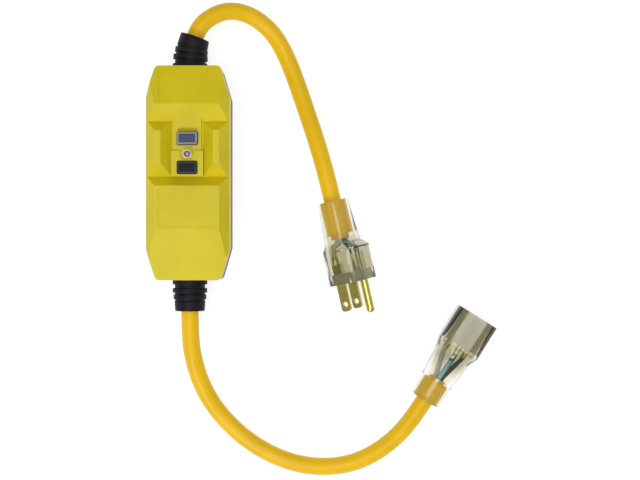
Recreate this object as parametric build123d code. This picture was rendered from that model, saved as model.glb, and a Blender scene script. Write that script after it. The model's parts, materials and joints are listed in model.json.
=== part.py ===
"""In-line portable GFCI cord set: yellow housing, two short cords, clear plug and clear connector.

Millimetres, +Z up out of the control face, +Y along the housing toward the plug's cord.
Origin: the middle of the housing's base.
"""
from build123d import *
import math
import os

# ---- housing: overall sizes ----
housing_length = 125.0
housing_width = 48.5
housing_height = 40.0
wall = 2.5
roof_drop = 3.0
floor_thickness = 2.5
split_height = 17.0
end_half_width = 18.9
end_taper_length = 18.5
plan_corner_radius = 3.0
base_edge_radius = 1.2
gasket_width = 1.0
gasket_height = 1.0
neck_seal_gap = 0.4

# ---- cover: slopes, grooves and rails ----
side_wall_top = 33.0
top_half_width = 18.75
line_ridge_y = 39.7
line_end_height = 33.0
load_crease_y = -33.0
load_end_height = 31.0
valley_height = 34.0
groove_valley_y = 29.8
rail_line_end_y = 24.4
rail_load_end_y = 5.4
lower_valley_y = -2.4
lower_step_y = -7.6
rail_top_inner_x = 15.15
rail_foot_inner_x = 9.0
panel_depth = 0.35
panel_half_width = 16.5
panel_margin = 1.5
slope_panel_margins = (2.0, 5.0)

# ---- control console ----
upper_console_half_width = 8.1
upper_console_height = 35.5
lower_console_half_width = 9.3
lower_console_height = 36.6
console_step_y = 12.6
console_load_end_y = -2.2
console_line_end_y = 33.0
reset_y = 19.95
reset_size = (12.1, 7.5)
reset_top = 38.0
reset_travel = 2.5
scoop_length = 3.2
scoop_depth = 1.3
scoop_margin = 0.6
test_y = 3.0
test_size = (11.7, 7.4)
test_top = 37.6
test_travel = 1.5
button_clearance = 0.2
button_flange_overhang = 1.0
button_flange_thickness = 1.3
button_corner_radius = 0.9
button_edge_radius = 0.6
button_dish_depth = 0.5
button_dish_margin = 1.2
lens_y = 10.9
lens_radius = 1.9
lens_boss_radius = 2.8
lens_boss_height = 37.4
lens_relief_radius = 4.2
lens_flange_radius = 2.7
lens_flange_thickness = 0.8
lens_dome_radius = 0.9
led_radius = 1.5
led_base_radius = 1.8
led_body_length = 3.9
led_dome_radius = 1.2
led_drop = 1.2
led_lead_radius = 0.3
led_lead_spread = (0.9, 3.4)

# ---- clearances; overcut is how far a cut or a root runs past the face it meets ----
overcut = 1.0
running_gap = 0.1
slide_gap = 0.15
bore_gap = 0.1

# ---- fasteners ----
case_screw_side_inset = 7.25
case_screw_end_inset = 16.5
case_boss_radius = 3.6
case_screw_radius = 1.5
case_screw_head_radius = 2.9
case_screw_head_height = 2.0
case_screw_length = 22.0
head_recess_depth = 4.0
cross_slot = (4.0, 0.7, 1.0)
board_screw_side_inset = 2.8
board_screw_y = (-33.0, 26.0)
board_screw_radius = 1.1
board_screw_head_radius = 2.1
board_screw_head_height = 1.3
standoff_radius = 2.8
clamp_screw_radius = 1.2
clamp_screw_head_radius = 2.3
clamp_screw_head_height = 1.6
clamp_screw_depth = 8.0
screw_head_round = 0.6

# ---- cords and conductors ----
cord_radius = 5.15
wire_radius = 1.55
jacket_end_inset = 16.5
clamp_inset = 10.5
clamp_width = 5.0
clamp_thickness = 2.6
clamp_end_margin = 3.0
core_offset = 2.1
core_drop = 1.3
ground_core_rise = 2.3
core_lead_out = 3.5
coil_approach = 2.2
crimp_approach = 3.5
ground_wire_gap = 2.85
ground_wire_x = (-6.5, -3.0)
ground_near_y = 20.0
ground_turn_inset = 5.6

# ---- strain reliefs ----
boot_reach = 18.4
boot_lean = 3.0
boot_rib_radii = (10.25, 8.95, 10.2, 8.9, 9.7, 8.8)
boot_rib_ends = (2.7, 5.0, 7.6, 8.7, 11.5, 12.7)
boot_tail_radii = (9.1, 8.7)
boot_neck_wall = 2.05
boot_flange_overhang = 1.6
boot_core_wall = 3.2
boot_flange_thickness = 2.2

# ---- circuit board ----
board_bottom = 11.0
board_thickness = 1.6
board_side_gap = 2.75
board_corner = 2.0
board_span_y = (-36.5, 29.6)
stem_hole_radius = 2.4

# ---- contact mechanism ----
frame_half_width = 12.0
frame_wall = 1.5
frame_span_y = (12.2, 27.8)
frame_bridge_z = (20.0, 21.5)
carrier_z = (15.5, 18.6)
carrier_half_width = 9.8
carrier_travel = 1.5
pole_x = 7.5
contact_width = 4.0
contact_strip = 0.5
contact_pad_radius = 1.5
contact_pad_height = 0.5
contact_pad_inset = 3.4
contact_strip_reach = 5.0
contact_tail_reach = 0.2
carrier_end_gap = 0.4
bridge_shoulder = 0.4
stem_radius = 1.5
stem_groove_radius = 1.0
stem_bottom = 11.9
latch_z = (16.6, 17.4)
latch_half_width = 3.0
latch_travel = 1.2
latch_grip = 0.35
load_wire_x = 11.8
wire_seat_gap = 0.05
crimp_wall = 0.5
load_crimp_span = (8.6, 12.0)
line_crimp_span = (28.0, 32.0)

# ---- solenoid ----
solenoid_axis_z = 18.4
solenoid_span_y = (-10.0, 8.0)
solenoid_sheet = 1.0
solenoid_half_width = 7.0
solenoid_cheek_top = 23.6
plunger_radius = 2.0
plunger_head_radius = 3.5
plunger_head_thickness = 1.2
plunger_head_y = -15.5
bobbin_radius = 3.0
bobbin_flange_radius = 4.6
bobbin_flange_thickness = 0.9
winding_radius = 4.4

# ---- springs: coil radius, wire diameter, turns ----
reset_coil = (2.6, 0.5, 5.0)
test_coil = (2.4, 0.35, 2.5)
plunger_coil = (2.75, 0.4, 3.0)

# ---- test switch ----
test_shelf_z = (25.9, 26.7)
test_arm_x = (7.9, 9.6)
test_arm_half_length = 3.5
test_arm_foot_height = 1.2
test_stem_radius = 1.25
leaf_top = 24.9
leaf_thickness = 0.35
leaf_half_width = 2.0
leaf_leg_x = -7.75
leaf_end_x = 2.5

# ---- sensing coils ----
coil_centre_z = 24.0
coil_outer_radius = 9.5
coil_inner_radius = 4.5
coil_thickness = 5.0
coil_faces_y = (-26.0, -33.0)
coil_wire_x = 2.1
coil_edge_radius = 1.2
cradle_half_width = 7.5
cradle_end_wall = 1.2
cradle_drop = 4.0
cradle_way_gap = 1.5

# ---- electronics on the board; side places are measured in from the board's edges ----
lead_radius = 0.3
varistor_inset = 3.0
varistor_y = 1.0
varistor_radius = 4.6
varistor_thickness = 3.6
varistor_stand = 0.8
varistor_lead_spread = 2.5
capacitor_inset = 3.6
capacitor_y = -10.0
capacitor_radius = 3.1
capacitor_height = 6.7
capacitor_lead_spread = 1.2
chip_inset = 3.8
chip_half_width = 2.4
chip_span_y = (-13.5, -4.5)
chip_z = (0.6, 3.4)
chip_pin_y = (-12.7, -10.2, -7.8, -5.3)
chip_pin_reach = 0.7
chip_pin_half_width = 0.3
chip_pin_thickness = 0.4
diode_inset = 3.4
diode_y = (-1.2, 1.2, 3.6, 6.0)
diode_size = (1.5, 0.8)
resistor_y = 9.6
resistor_size = (2.2, 1.1)
axial_lead_reach = 0.8
axial_stand = 0.3

# ---- plug, in its own axes: Z along the blades, Y toward the ground pin ----
plug_roll = 33.0
plug_length = 49.2
plug_rear_radius = 9.15
plug_collar_length = 25.5
plug_block_start = 28.9
plug_collar_half = (11.0, 9.7)
plug_collar_centre_y = 0.3
plug_collar_corner = 8.5
plug_block_side_wall = 6.4
plug_block_half_height = 12.6
plug_block_centre_y = 1.6
plug_block_corner = 9.0
plug_insert_thickness = 6.3
plug_insert_side_wall = 4.05
plug_insert_half_height = 10.8
plug_insert_corner = 7.0
plug_jacket_depth = 22.7
plug_cavity_start = 20.0
plug_cavity_small = (7.4, 7.2)
plug_cavity_small_corner = 5.0
plug_cavity_side_wall = 3.05
plug_cavity_half_height = 9.4
plug_cavity_corner = 4.0
plug_cavity_centre_y = 2.8
plug_cavity_full_at = 30.0
blade_pitch = 12.7
blade_offset_y = -2.8
ground_offset_y = 9.1
blade_width = 6.35
blade_thickness = 1.5
blade_length = 16.3
blade_hole_radius = 1.6
blade_hole_from_tip = 4.2
blade_tip_radius = 1.9
ground_pin_radius = 2.38
ground_pin_length = 20.0
ground_pin_tip_radius = 2.0
ground_shank_radius = 2.1
ground_neck_length = 0.5
plug_crimp_start = 32.5
crimp_length = 5.0
crimp_closed_end = 0.6
core_straight = 2.2
plug_crimp_lead = 2.9

# ---- connector, in its own axes: Z out of the mouth, Y toward the ground hole ----
connector_length = 58.4
connector_rear_radius = 8.75
connector_waist_radius = 11.2
connector_waist_at = 30.0
connector_block_start = 36.4
connector_block_side_wall = 6.65
connector_block_half_height = 13.7
connector_block_centre_y = 0.9
connector_block_corner = 7.5
connector_jacket_depth = 14.3
connector_cavity_start = 13.0
connector_cavity_start_radius = 7.2
connector_waist_clearance = 8.35
connector_cavity_side_wall = 4.65
connector_crimp_gap = 0.85
connector_cavity_corner = 6.0
core_length = 20.0
core_side_wall = 4.45
core_half_height = 12.3
core_corner = 5.0
slot_height = 2.0
hot_slot_width = 7.2
neutral_slot_width = 8.6
ground_hole_radius = 2.65
contact_pocket_depth = 18.0
slot_mouth_depth = 3.0
pocket_half = (1.9, 4.4)
contact_front_gap = 0.4
contact_half_height = 3.0
contact_grip_gap = 0.05
contact_back_thickness = 0.8
contact_tail_half = (0.6, 1.8)
ground_tail_radius = 1.4
tail_way_gap = 0.2
contact_leaf_thickness = 0.6
connector_crimp_start = 33.4
connector_crimp_lead = 1.6

# ---- free cords: corner points of each route, from the strain relief to the fitting ----
line_route = [
    (3.0, 80.9, 17.0),
    (5.22, 87.54, 17.0),
    (14.1, 94.6, 15.2),
    (23.1, 97.6, 12.6),
    (32.7, 96.3, 10.0),
    (41.5, 91.7, 7.7),
    (50.5, 83.0, 6.0),
    (58.5, 67.6, 5.3),
    (66.2, 46.0, 6.0),
    (79.2, 6.7, 13.3),
    (84.4, -16.0, 13.3),
]
load_route = [
    (0.0, -80.9, 17.0),
    (0.0, -91.2, 17.0),
    (1.2, -107.8, 15.2),
    (6.5, -125.9, 10.8),
    (15.6, -141.7, 7.0),
    (29.4, -156.1, 5.4),
    (45.1, -166.6, 5.2),
    (62.5, -173.4, 5.2),
    (81.9, -175.5, 5.3),
    (100.8, -171.6, 6.6),
    (117.4, -161.3, 9.8),
    (131.0, -147.0, 12.9),
    (139.2, -133.9, 12.9),
]
arc_share = 0.45

# ---- worked out from the sizes above ----
half_length = housing_length / 2
half_width = housing_width / 2
board_top = board_bottom + board_thickness
board_half_width = half_width - wall - board_side_gap
board_screw_x = board_half_width - board_screw_side_inset
ceiling = valley_height - roof_drop
case_screw_x = half_width - case_screw_side_inset
case_screw_y = half_length - case_screw_end_inset
jacket_end_y = half_length - jacket_end_inset
clamp_y = half_length - clamp_inset
clamp_screw_x = cord_radius + clamp_thickness + clamp_screw_head_radius + slide_gap
clamp_half_length = clamp_screw_x + clamp_end_margin
case_screw_tip = case_screw_length + head_recess_depth
boot_neck_radius = cord_radius + boot_neck_wall
boot_flange_radius = boot_neck_radius + boot_flange_overhang
wire_height = frame_bridge_z[0] + wire_radius + wire_seat_gap
test_stem_bottom = leaf_top + test_travel + running_gap
blade_x = blade_pitch / 2
insert_start = plug_length - plug_insert_thickness
plug_block_half = (blade_x + plug_block_side_wall, plug_block_half_height)
plug_insert_half = (blade_x + plug_insert_side_wall, plug_insert_half_height)
plug_cavity_large = (blade_x + plug_cavity_side_wall, plug_cavity_half_height)
connector_block_half = (blade_x + connector_block_side_wall, connector_block_half_height)
connector_cavity_half_height = ground_offset_y + wire_radius + crimp_wall + connector_crimp_gap
connector_cavity_half = (blade_x + connector_cavity_side_wall, connector_cavity_half_height)
connector_cavity_waist = wire_radius + connector_waist_clearance
core_half = (blade_x + core_side_wall, core_half_height)
core_start = connector_length - core_length
pocket_start = connector_length - contact_pocket_depth


# ---------------------------------------------------------------- helpers
def block(x_span, y_span, z_span):
    """Axis-aligned box from its low and high coordinates."""
    spans = (x_span, y_span, z_span)
    sizes = [high - low for low, high in spans]
    middles = [(high + low) / 2 for low, high in spans]
    return Pos(*middles) * Box(*sizes)


def post(x, y, z_span, radius):
    """Upright cylinder."""
    height = z_span[1] - z_span[0]
    return Pos(x, y, (z_span[0] + z_span[1]) / 2) * Cylinder(radius, height)


def barrel(x, z, y_span, radius):
    """Cylinder lying along Y."""
    length = y_span[1] - y_span[0]
    place = Pos(x, (y_span[0] + y_span[1]) / 2, z)
    return place * Rot(90, 0, 0) * Cylinder(radius, length)


def longer(span, extra=overcut):
    """The span, run past both of its ends."""
    return (min(span) - extra, max(span) + extra)


def side_extrusion(points, half_span):
    """Solid with the given (y, z) outline, extruded both ways along X."""
    plane = Plane.YZ
    face = plane * make_face(Polyline(*points, close=True))
    return extrude(face, amount=half_span, both=True)


def end_extrusion(points, y_span):
    """Solid with the given (x, z) outline between two Y planes."""
    plane = Plane(origin=(0, y_span[0], 0), x_dir=(1, 0, 0), z_dir=(0, -1, 0))
    face = plane * make_face(Polyline(*points, close=True))
    return extrude(face, amount=-(y_span[1] - y_span[0]))


def rounded_prism(half, corner, z_span, centre_y=0.0):
    """Prism with a rounded-rectangle section, centred on x = 0 and the given y."""
    face = Pos(0, centre_y, z_span[0]) * RectangleRounded(2 * half[0], 2 * half[1], corner)
    return extrude(face, amount=z_span[1] - z_span[0])


def tube_along(path, radius):
    """Round rod swept along a path."""
    start = Plane(origin=path @ 0, z_dir=path % 0)
    return sweep(start * Circle(radius), path=path)


def corner_turn(before, corner, after):
    """Turn of a route at one point, in degrees."""
    incoming = Vector(*corner) - Vector(*before)
    outgoing = Vector(*after) - Vector(*corner)
    return incoming.get_angle(outgoing)


def arc_radii(route, share=arc_share):
    """Largest arc at each corner that its two runs allow."""
    radii = []
    for before, corner, after in zip(route, route[1:], route[2:]):
        shorter = min(math.dist(before, corner), math.dist(corner, after))
        half_turn = math.radians(corner_turn(before, corner, after)) / 2
        radii.append(share * shorter / math.tan(half_turn))
    return radii


def wire(points, radius=wire_radius):
    """One insulated conductor along a few corner points."""
    path = FilletPolyline(*points, radius=arc_radii(points))
    return tube_along(path, radius)


def coil_spring(x, y, z_span, radius, wire_diameter, turns):
    """Compression spring, its wire inside the given height."""
    height = z_span[1] - z_span[0] - wire_diameter
    path = Pos(x, y, z_span[0] + wire_diameter / 2) * Helix(height / turns, height, radius)
    return tube_along(path, wire_diameter / 2)


# ---------------------------------------------------------------- housing shells
def plan_outline(inset):
    """Elongated octagon seen from above, rounded and drawn in by a wall."""
    taper_y = half_length - end_taper_length
    points = []
    for x_side, y_side in ((1, 1), (-1, 1), (-1, -1), (1, -1)):
        near_end = (x_side * end_half_width, y_side * half_length)
        near_side = (x_side * half_width, y_side * taper_y)
        points += [near_side, near_end] if x_side == y_side else [near_end, near_side]
    face = make_face(Polyline(*points, close=True))
    face = fillet(face.vertices(), plan_corner_radius)
    return offset(face, amount=-inset) if inset else face


def cover_form(base, drop=0.0, inset=0.0):
    """Outer form of the cover, or the cavity under it when drawn in and lowered."""
    top = housing_height - drop
    valley = valley_height - drop
    roof = [
        (-half_length, base),
        (-half_length, load_end_height - drop),
        (load_crease_y, top),
        (lower_step_y, top),
        (lower_valley_y, valley),
        (rail_load_end_y, top),
        (rail_line_end_y, top),
        (groove_valley_y, valley),
        (line_ridge_y, top),
        (half_length, line_end_height - drop),
        (half_length, base),
    ]
    section = [
        (-half_width, base),
        (-half_width, side_wall_top - drop),
        (-top_half_width, top),
        (top_half_width, top),
        (half_width, side_wall_top - drop),
        (half_width, base),
    ]
    pocket = [
        (-rail_top_inner_x, top),
        (-rail_foot_inner_x, valley),
        (rail_foot_inner_x, valley),
        (rail_top_inner_x, top),
    ]
    form = extrude(Pos(0, 0, base) * plan_outline(inset), amount=top - base)
    form = form & side_extrusion(roof, half_width)
    form = form & end_extrusion(section, (-half_length, half_length))
    return form - end_extrusion(pocket, (lower_valley_y, groove_valley_y))


def console():
    """Raised control area between the rails, with the round boss for the lens."""
    upper = block(
        (-upper_console_half_width, upper_console_half_width),
        (console_step_y, console_line_end_y),
        (ceiling + overcut, upper_console_height),
    )
    lower = block(
        (-lower_console_half_width, lower_console_half_width),
        (console_load_end_y, console_step_y),
        (ceiling + overcut, lower_console_height),
    )
    relief = post(0, lens_y, (upper_console_height, lower_console_height + overcut), lens_relief_radius)
    boss = post(0, lens_y, (ceiling + overcut, lens_boss_height), lens_boss_radius)
    return upper + (lower - relief) + boss


def button_well(size, y, gap=button_clearance):
    """Hole through the cover for a button."""
    half = (size[0] / 2 + gap, size[1] / 2 + gap)
    return rounded_prism(half, button_corner_radius + gap, (ceiling - overcut, housing_height), y)


def finger_scoop():
    """Sloping hollow in the console that leads a finger onto the reset button."""
    low_y = reset_y + reset_size[1] / 2
    outline = [
        (low_y, upper_console_height - scoop_depth),
        (low_y, upper_console_height + overcut),
        (low_y + scoop_length, upper_console_height + overcut),
        (low_y + scoop_length, upper_console_height),
    ]
    return side_extrusion(outline, reset_size[0] / 2 - scoop_margin)


def label_panels():
    """Two shallow panels sunk in the upper slope and the flat top."""
    slope = (housing_height - line_end_height) / (half_length - line_ridge_y)
    low_y = line_ridge_y + slope_panel_margins[0]
    high_y = half_length - slope_panel_margins[1]
    low_z = housing_height - slope * (low_y - line_ridge_y)
    high_z = housing_height - slope * (high_y - line_ridge_y)
    upper = [
        (low_y, low_z - panel_depth),
        (low_y, low_z + overcut),
        (high_y, high_z + overcut),
        (high_y, high_z - panel_depth),
    ]
    flat = block(
        (-panel_half_width, panel_half_width),
        (load_crease_y + panel_margin, lower_step_y - panel_margin),
        (housing_height - panel_depth, housing_height + overcut),
    )
    return side_extrusion(upper, panel_half_width) + flat


def case_screw_places():
    return [(x, y) for x in (-case_screw_x, case_screw_x) for y in (-case_screw_y, case_screw_y)]


def neck_holes(radius):
    """Round ways out for the two strain reliefs, on the split line."""
    line_hole = barrel(0, split_height, (half_length - 2 * wall, half_length + overcut), radius)
    load_hole = barrel(0, split_height, (-half_length - overcut, -half_length + 2 * wall), radius)
    return line_hole + load_hole


def make_top_cover():
    outer = cover_form(split_height)
    cavity = cover_form(split_height - overcut, roof_drop, wall)
    bosses = Part()
    for x, y in case_screw_places():
        bosses += post(x, y, (split_height, housing_height), case_boss_radius)
    cover = (outer + console()) - cavity + (bosses & outer)
    for x, y in case_screw_places():
        cover -= post(x, y, (split_height - overcut, case_screw_tip + overcut), case_screw_radius)
    cover -= button_well(reset_size, reset_y)
    cover -= button_well(test_size, test_y)
    cover -= post(0, lens_y, (ceiling - overcut, housing_height), lens_radius + bore_gap)
    cover -= label_panels()
    cover -= finger_scoop()
    return cover - neck_holes(boot_neck_radius)


def gasket_ring(z_span, width):
    """Closed ring that follows the wall's middle."""
    outer = plan_outline(wall / 2 - width / 2)
    inner = plan_outline(wall / 2 + width / 2)
    return extrude(Pos(0, 0, z_span[0]) * (outer - inner), amount=z_span[1] - z_span[0])


def make_housing_gasket():
    ring = gasket_ring((split_height - gasket_height, split_height), gasket_width)
    return ring - neck_holes(boot_neck_radius + neck_seal_gap)


def make_bottom_case():
    outer = extrude(plan_outline(0), amount=split_height)
    case = fillet(outer.faces().sort_by(Axis.Z)[0].edges(), base_edge_radius)
    case -= extrude(Pos(0, 0, floor_thickness) * plan_outline(wall), amount=split_height)
    for x, y in case_screw_places():
        case += post(x, y, (floor_thickness - overcut, split_height), case_boss_radius)
    for x, y in board_screw_places():
        case += post(x, y, (floor_thickness - overcut, board_bottom), standoff_radius)
        case -= post(x, y, (floor_thickness, board_bottom + overcut), board_screw_radius)
    for side in (-1, 1):
        y_span = clamp_span(side)
        saddle_z = (floor_thickness - overcut, split_height)
        saddle = block((-clamp_half_length, clamp_half_length), y_span, saddle_z)
        case += saddle - barrel(0, split_height, longer(y_span), cord_radius)
        for x in (-clamp_screw_x, clamp_screw_x):
            depth = (split_height - clamp_screw_depth, split_height + overcut)
            case -= post(x, side * clamp_y, depth, clamp_screw_radius)
    for x, y in case_screw_places():
        case -= post(x, y, (-overcut, split_height + overcut), case_screw_radius + bore_gap)
        case -= post(x, y, (-overcut, head_recess_depth), case_screw_head_radius + slide_gap)
    case -= gasket_ring((split_height - gasket_height, split_height + overcut), gasket_width)
    return case - neck_holes(boot_neck_radius)


def make_case_screws():
    slot_length, slot_width, slot_depth = cross_slot
    head_bottom = head_recess_depth - case_screw_head_height
    slot_z = (head_bottom - overcut, head_bottom + slot_depth)
    long_half = slot_length / 2
    short_half = slot_width / 2
    screws = []
    for x, y in case_screw_places():
        head = post(x, y, (head_bottom, head_recess_depth), case_screw_head_radius)
        shank = post(x, y, (head_recess_depth, case_screw_tip), case_screw_radius)
        slot = block((x - long_half, x + long_half), (y - short_half, y + short_half), slot_z)
        cross = block((x - short_half, x + short_half), (y - long_half, y + long_half), slot_z)
        screws.append(head + shank - slot - cross)
    return Compound(children=screws)


# ---------------------------------------------------------------- controls
def button_blank(size, y, top, flange_top):
    """Dished cap in the well and a wider flange that stops it under the cover."""
    half = (size[0] / 2, size[1] / 2)
    cap = rounded_prism(half, button_corner_radius, (flange_top - button_flange_thickness, top), y)
    cap = fillet(cap.faces().sort_by(Axis.Z)[-1].edges(), button_edge_radius)
    dish_half = (half[0] - button_dish_margin, half[1] - button_dish_margin)
    dish_z = (top - button_dish_depth, top + overcut)
    flange_half = (half[0] + button_flange_overhang, half[1] + button_flange_overhang)
    flange_z = (flange_top - button_flange_thickness, flange_top)
    flange = rounded_prism(flange_half, button_corner_radius, flange_z, y)
    return cap - rounded_prism(dish_half, button_edge_radius, dish_z, y) + flange


def make_reset_button():
    flange_top = ceiling - running_gap
    button = button_blank(reset_size, reset_y, reset_top, flange_top)
    groove_top = latch_z[1] + reset_travel + 2 * slide_gap
    groove_bottom = latch_z[0] - carrier_travel - 2 * running_gap
    stem = post(0, reset_y, (groove_top, flange_top), stem_radius)
    waist = post(0, reset_y, (groove_bottom, groove_top), stem_groove_radius)
    foot = post(0, reset_y, (stem_bottom, groove_bottom), stem_radius)
    foot = chamfer(foot.edges().sort_by(Axis.Z)[0], stem_radius - stem_groove_radius)
    return button + stem + waist + foot


def make_test_button():
    flange_top = ceiling - running_gap
    button = button_blank(test_size, test_y, test_top, flange_top)
    return button + post(0, test_y, (test_stem_bottom, flange_top), test_stem_radius)


def make_reset_spring():
    z_span = (frame_bridge_z[1], ceiling - running_gap - button_flange_thickness)
    return coil_spring(0, reset_y, z_span, *reset_coil)


def make_test_spring():
    z_span = (test_shelf_z[1], ceiling - running_gap - button_flange_thickness)
    return coil_spring(0, test_y, z_span, *test_coil)


def make_indicator_lens():
    rod = post(0, lens_y, (ceiling, lens_boss_height), lens_radius)
    rod = fillet(rod.edges().sort_by(Axis.Z)[-1], lens_dome_radius)
    return rod + post(0, lens_y, (ceiling - lens_flange_thickness, ceiling), lens_flange_radius)


def make_indicator_led():
    """Round-topped lamp under the lens, its two leads spread down to the board."""
    top = ceiling - led_drop
    base = top - led_body_length
    body = post(0, lens_y, (base, top), led_radius)
    body = fillet(body.edges().sort_by(Axis.Z)[-1], led_dome_radius)
    led = body + post(0, lens_y, (base - overcut, base), led_base_radius)
    near, far = led_lead_spread
    for side in (-1, 1):
        points = [
            (side * near, lens_y, base - overcut / 2),
            (side * near, lens_y, base - 2 * overcut),
            (side * far, lens_y, (base + board_top) / 2),
            (side * far, lens_y, board_top),
        ]
        led += wire(points, led_lead_radius)
    return led


# ---------------------------------------------------------------- board and supports
def board_screw_places():
    return [(x, y) for x in (-board_screw_x, board_screw_x) for y in board_screw_y]


def make_circuit_board():
    board = block((-board_half_width, board_half_width), board_span_y, (board_bottom, board_top))
    board = chamfer(board.edges().filter_by(Axis.Z), board_corner)
    through = (board_bottom - overcut, board_top + overcut)
    for x, y in board_screw_places():
        board -= post(x, y, through, board_screw_radius + bore_gap)
    return board - post(0, reset_y, through, stem_hole_radius)


def round_head_screw(x, y, bottom, seat, head_height, head_radius, radius):
    """Screw with a rounded head on its seat."""
    head = post(x, y, (seat, seat + head_height), head_radius)
    head = fillet(head.edges().sort_by(Axis.Z)[-1], screw_head_round)
    return head + post(x, y, (bottom, seat), radius)


def make_board_screws():
    sizes = (board_screw_head_height, board_screw_head_radius, board_screw_radius)
    bottom = floor_thickness + overcut
    return Compound(
        children=[round_head_screw(x, y, bottom, board_top, *sizes) for x, y in board_screw_places()]
    )


def clamp_span(side):
    return (side * clamp_y - clamp_width / 2, side * clamp_y + clamp_width / 2)


def make_cord_clamp(side):
    """Arched bar that holds one cord's jacket down on its saddle."""
    y_span = clamp_span(side)
    x_span = (-clamp_half_length, clamp_half_length)
    bar = block(x_span, y_span, (split_height, split_height + clamp_thickness))
    arch = barrel(0, split_height, y_span, cord_radius + clamp_thickness)
    arch &= block(x_span, y_span, (split_height, housing_height))
    clamp = bar + arch - barrel(0, split_height, longer(y_span), cord_radius)
    for x in (-clamp_screw_x, clamp_screw_x):
        way = (split_height - overcut, split_height + clamp_thickness + overcut)
        clamp -= post(x, side * clamp_y, way, clamp_screw_radius + bore_gap)
    return clamp


def make_clamp_screws():
    seat = split_height + clamp_thickness
    bottom = split_height - clamp_screw_depth
    sizes = (clamp_screw_head_height, clamp_screw_head_radius, clamp_screw_radius)
    screws = []
    for side in (-1, 1):
        for x in (-clamp_screw_x, clamp_screw_x):
            screws.append(round_head_screw(x, side * clamp_y, bottom, seat, *sizes))
    return Compound(children=screws)


# ---------------------------------------------------------------- contact mechanism
def strip_z():
    """Height of the fixed contacts' strips, under the frame's bridge."""
    return (frame_bridge_z[0] - contact_strip, frame_bridge_z[0])


def pole_span(side, inset=0.0):
    """Width of one pole's contacts."""
    return (side * pole_x - contact_width / 2 + inset, side * pole_x + contact_width / 2 - inset)


def chamber_span(gap):
    """Inside of the contact chamber along Y, less a gap at each end."""
    return (frame_span_y[0] + frame_wall + gap, frame_span_y[1] - frame_wall - gap)


def plunger_tip_y():
    return frame_span_y[0] + frame_wall + carrier_end_gap + slide_gap


def make_mechanism_frame():
    """Moulded frame on the board: contact chamber, side arms and the test switch's shelf."""
    chamber = block((-frame_half_width, frame_half_width), frame_span_y, (board_top, frame_bridge_z[1]))
    inner_half = frame_half_width - frame_wall
    inner_z = (board_top - overcut, frame_bridge_z[0])
    frame = chamber - block((-inner_half, inner_half), chamber_span(0), inner_z)
    frame -= post(0, reset_y, longer(frame_bridge_z), stem_radius + slide_gap)
    plunger_way = (frame_span_y[0] - overcut, plunger_tip_y() + latch_travel + 2 * slide_gap)
    frame -= barrel(0, solenoid_axis_z, plunger_way, plunger_radius + 2 * slide_gap)
    arm_y = (test_y - test_arm_half_length, test_y + test_arm_half_length)
    for side in (-1, 1):
        frame -= block(pole_span(side), longer(frame_span_y), strip_z())
        arm_x = sorted(side * x for x in test_arm_x)
        pillar = block(arm_x, arm_y, (board_top, test_shelf_z[1]))
        foot_y = (arm_y[0], frame_span_y[0] + overcut)
        foot = block(arm_x, foot_y, (board_top, board_top + test_arm_foot_height))
        frame += pillar + foot
    shelf = block((-test_arm_x[1], test_arm_x[1]), arm_y, test_shelf_z)
    return frame + shelf - post(0, test_y, longer(test_shelf_z), test_stem_radius + slide_gap)


def crimped_strip(side, y_span, crimp_span, crimp_x, pad_y):
    """Fixed contact: pad under the frame's bridge, strip through the wall, crimp on its wire."""
    inner_x = side * (pole_x - contact_width / 2)
    strip = block(pole_span(side), y_span, strip_z())
    tab_end = side * (crimp_x + wire_radius)
    tab = block(sorted((inner_x, tab_end)), crimp_span, strip_z())
    pad_z = (strip_z()[0] - contact_pad_height, strip_z()[0])
    pad = post(side * pole_x, pad_y, pad_z, contact_pad_radius)
    crimp = barrel(side * crimp_x, wire_height, crimp_span, wire_radius + crimp_wall)
    crimp -= barrel(side * crimp_x, wire_height, crimp_span, wire_radius)
    return strip + tab + pad + crimp


def make_load_contact(side):
    face = frame_span_y[0]
    y_span = (face - contact_tail_reach, face + contact_strip_reach)
    return crimped_strip(side, y_span, load_crimp_span, load_wire_x, face + contact_pad_inset)


def make_line_contact(side):
    face = frame_span_y[1]
    y_span = (face - contact_strip_reach, face + contact_tail_reach)
    return crimped_strip(side, y_span, line_crimp_span, pole_x, face - contact_pad_inset)


def make_contact_carrier():
    """Insulating slide that carries both bridge contacts and the latch plate."""
    y_span = chamber_span(carrier_end_gap)
    carrier = block((-carrier_half_width, carrier_half_width), y_span, carrier_z)
    slot_half = latch_half_width + slide_gap
    slot_z = longer(latch_z, running_gap)
    carrier -= block((-slot_half, slot_half), longer(y_span), slot_z)
    carrier -= post(0, reset_y, longer(carrier_z), stem_radius + 2 * slide_gap)
    notch_half = plunger_radius + 3 * slide_gap
    notch_y = (y_span[0] - overcut, plunger_tip_y() + latch_travel + 3 * slide_gap)
    notch_z = (solenoid_axis_z - plunger_radius - 2 * slide_gap, carrier_z[1] + overcut)
    carrier -= block((-notch_half, notch_half), notch_y, notch_z)
    for side in (-1, 1):
        seat_x = sorted((side * (pole_x - contact_width / 2), side * (carrier_half_width + overcut)))
        seat_z = (carrier_z[1] - bridge_shoulder, carrier_z[1] + overcut)
        carrier -= block(seat_x, longer(y_span), seat_z)
    return carrier


def make_bridge_contact(side):
    """Strip with a pad at each end, seated on the carrier's shoulder."""
    low = carrier_z[1] - bridge_shoulder
    y_span = chamber_span(carrier_end_gap + running_gap)
    strip = block(pole_span(side, running_gap), y_span, (low, low + contact_strip))
    pad_z = (low, strip_z()[0] - contact_pad_height - running_gap)
    for y in (frame_span_y[0] + contact_pad_inset, frame_span_y[1] - contact_pad_inset):
        strip += post(side * pole_x, y, pad_z, contact_pad_radius)
    return strip


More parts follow.
